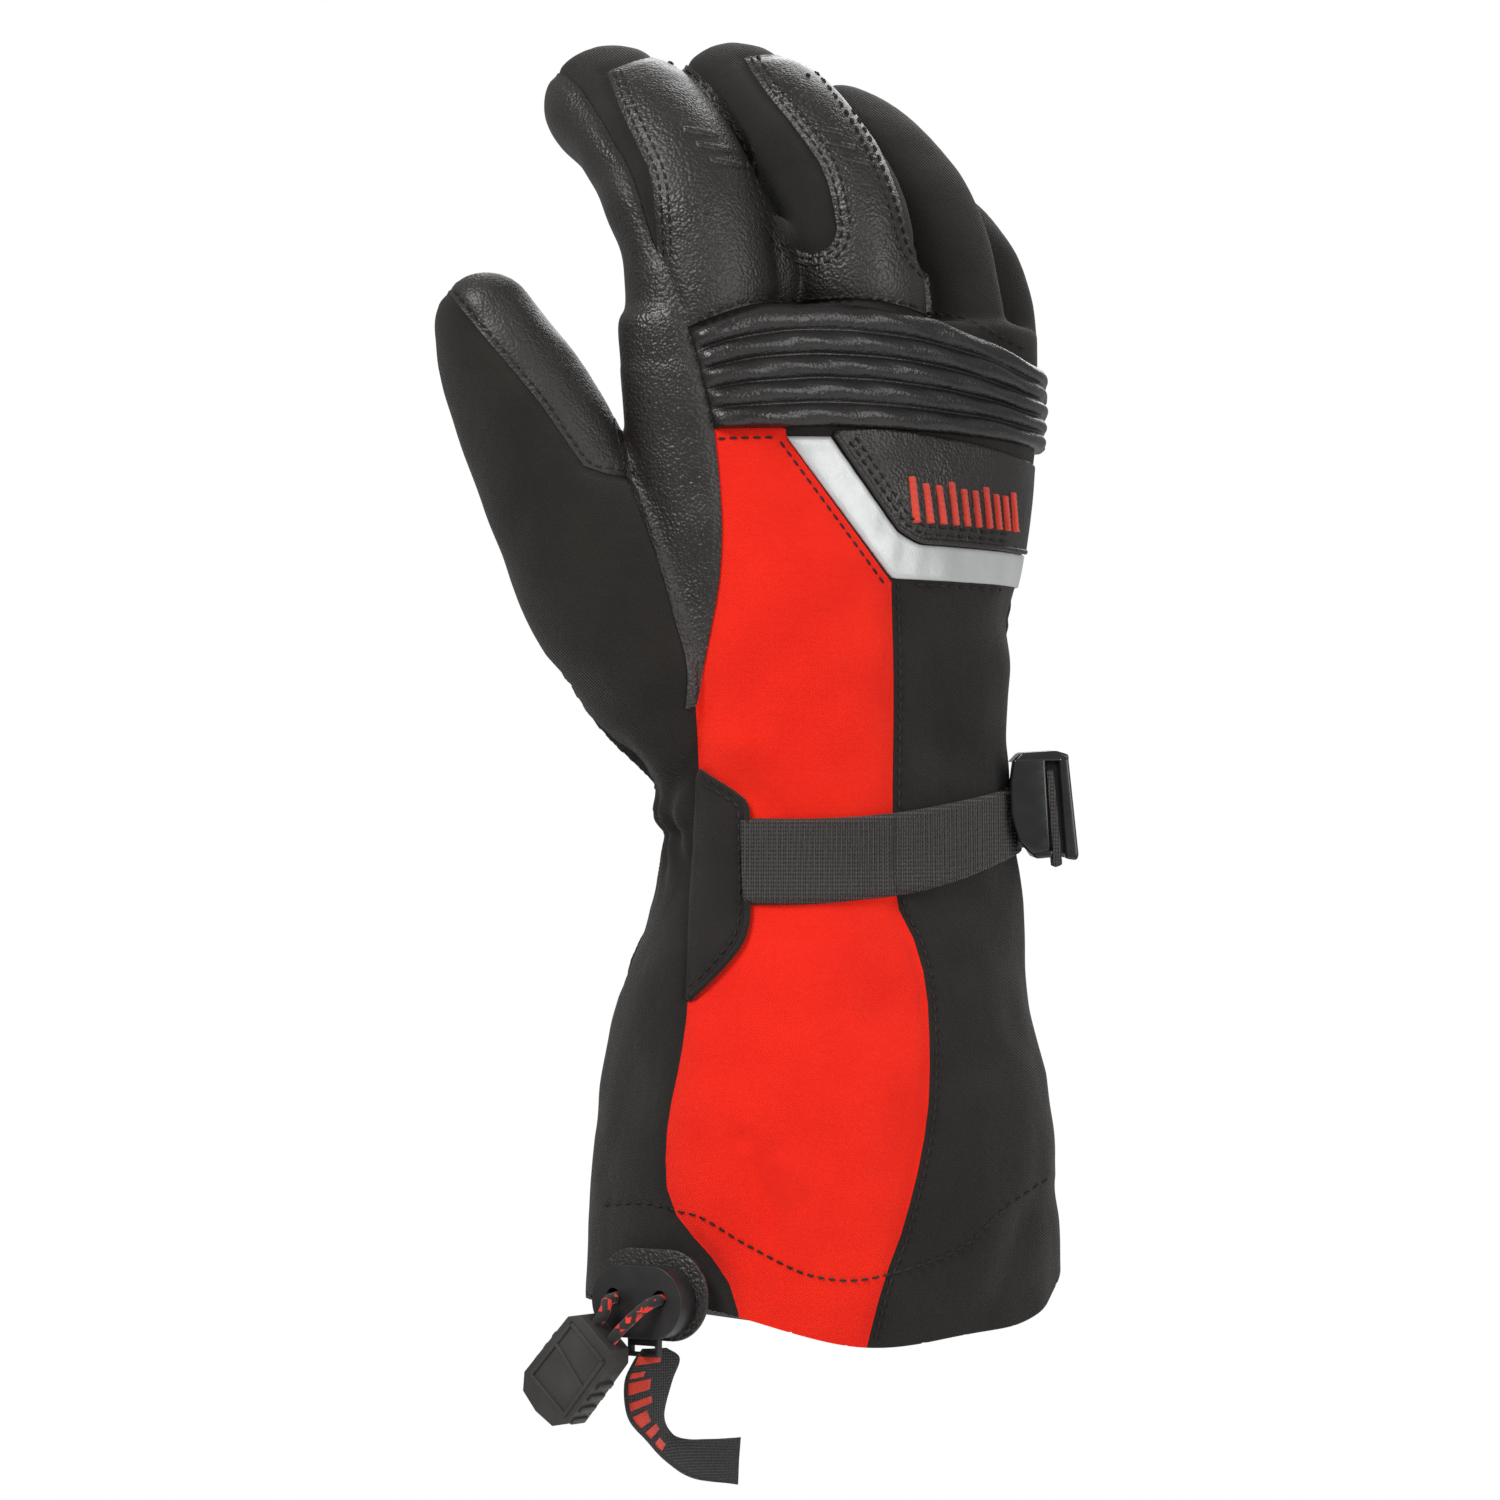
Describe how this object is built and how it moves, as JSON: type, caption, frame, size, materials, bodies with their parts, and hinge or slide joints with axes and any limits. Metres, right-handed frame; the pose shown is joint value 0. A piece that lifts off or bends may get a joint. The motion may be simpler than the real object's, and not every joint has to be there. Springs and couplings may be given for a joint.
{
  "type": "ski glove",
  "caption": "Insulated gauntlet ski glove, right hand: softshell and leather panels, ribbed knuckles, buckled wrist strap, and a hem cinch cord with lock, pull tab and release ribbon.",
  "frame": {"origin": "centre of the hand opening in the cuff, at the hem", "axes": "+Z from the hem to the fingertips, -Y out of the back of the hand, -X towards the thumb"},
  "size_m": [0.176, 0.1133, 0.3861],
  "materials": {
    "red_softshell": "matte twill",
    "black_softshell": "matte twill",
    "leather": "pebbled semi-matte",
    "insulation": "lofted fibre",
    "lining": "brushed fleece",
    "elastic": "braided",
    "cord": "braided with red flecks",
    "black_plastic": "glossy moulded",
    "spring_steel": "bright",
    "webbing": "ribbed webbing",
    "reflective": "retroreflective film",
    "tab_rubber": "matte moulded"
  },
  "bodies": {
    "cuff": {"cuff_back_red": "red_softshell", "cuff_back_black": "black_softshell", "cuff_thumb_side": "black_softshell", "cuff_palm": "black_softshell", "cuff_insulation": "insulation", "cuff_lining": "lining", "wrist_elastic": "elastic", "hem_facing": "lining", "hem_drawcord": "cord", "lock_patch": "leather", "lock_housing": "black_plastic", "lock_spring": "spring_steel", "strap_tab": "black_softshell", "wrist_strap": "webbing", "buckle_loop": "webbing", "wrist_gusset": "black_softshell"},
    "hand": {"hand_back_leather": "leather", "ring_side_panel": "black_softshell", "knuckle_ribs": "leather", "knuckle_panel": "leather", "reflective_trim": "reflective", "badge_patch": "leather", "hand_back_red": "red_softshell", "hand_back_black": "black_softshell", "palm_leather": "leather", "index_side_leather": "leather", "hand_insulation": "insulation", "hand_lining": "lining", "index_gusset": "black_softshell", "middle_gusset": "black_softshell", "ring_gusset": "black_softshell", "little_gusset": "black_softshell", "thumb_gusset": "black_softshell"},
    "thumb": {"thumb_back": "black_softshell", "thumb_palm": "leather", "thumb_liner": "lining"},
    "buckle": {"ladder_buckle": "black_plastic", "strap_tail": "webbing"},
    "lock_lever": {"lock_lever": "black_plastic", "release_ribbon": "webbing"},
    "pull": {"pull_tab": "tab_rubber", "pull_cords": "cord"},
    "index": {"index_back": "black_softshell", "index_palm": "leather", "index_liner": "lining", "index_strip": "leather"},
    "middle": {"middle_back": "black_softshell", "middle_palm": "leather", "middle_liner": "lining", "middle_strip": "leather"},
    "ring": {"ring_back": "black_softshell", "ring_palm": "leather", "ring_liner": "lining"},
    "little": {"little_back": "black_softshell", "little_palm": "leather", "little_liner": "lining"}
  },
  "joints": [
    {"name": "wrist_flex", "type": "hinge", "parent": "cuff", "child": "hand", "pos_m": [0.002, 0.0005, 0.141], "axis": [1, 0, 0], "range_deg": [-20, 22], "deforming": ["wrist_gusset"]},
    {"name": "index_flex", "type": "hinge", "parent": "hand", "child": "index", "pos_m": [-0.043, 0.00467, 0.284], "axis": [1, 0, 0], "range_deg": [-24, 20], "deforming": ["index_gusset"]},
    {"name": "middle_flex", "type": "hinge", "parent": "hand", "child": "middle", "pos_m": [-0.0015, -0.0079, 0.284], "axis": [1, 0, 0], "range_deg": [-24, 20], "deforming": ["middle_gusset"]},
    {"name": "ring_flex", "type": "hinge", "parent": "hand", "child": "ring", "pos_m": [0.0345, -0.00083, 0.278], "axis": [1, 0, 0], "range_deg": [-14, 20], "deforming": ["ring_gusset"]},
    {"name": "little_flex", "type": "hinge", "parent": "hand", "child": "little", "pos_m": [0.0635, 0.01346, 0.266], "axis": [1, 0, 0], "range_deg": [-24, 10], "deforming": ["little_gusset"]},
    {"name": "thumb_flex", "type": "hinge", "parent": "hand", "child": "thumb", "pos_m": [-0.056, 0.012, 0.19], "axis": [0, 0, 1], "range_deg": [-12, 12], "deforming": ["thumb_gusset"]},
    {"name": "buckle_tilt", "type": "hinge", "parent": "cuff", "child": "buckle", "pos_m": [0.04935, -0.02786, 0.133], "axis": [0, 0, 1], "range_deg": [-22, 0]},
    {"name": "lever_release", "type": "hinge", "parent": "cuff", "child": "lock_lever", "pos_m": [-0.07034, -0.01682, 0.0091], "axis": [0.3326, -0.9431, 0], "range_deg": [-5, 0], "stiffness_Nm_per_rad": 0.02, "deforming": ["lock_spring"]},
    {"name": "pull_tab_swing", "type": "hinge", "parent": "cuff", "child": "pull", "pos_m": [-0.07463, -0.01834, 0.0057], "axis": [0.3326, -0.9431, 0], "range_deg": [-50, 0], "deforming": ["pull_cords"]}
  ]
}
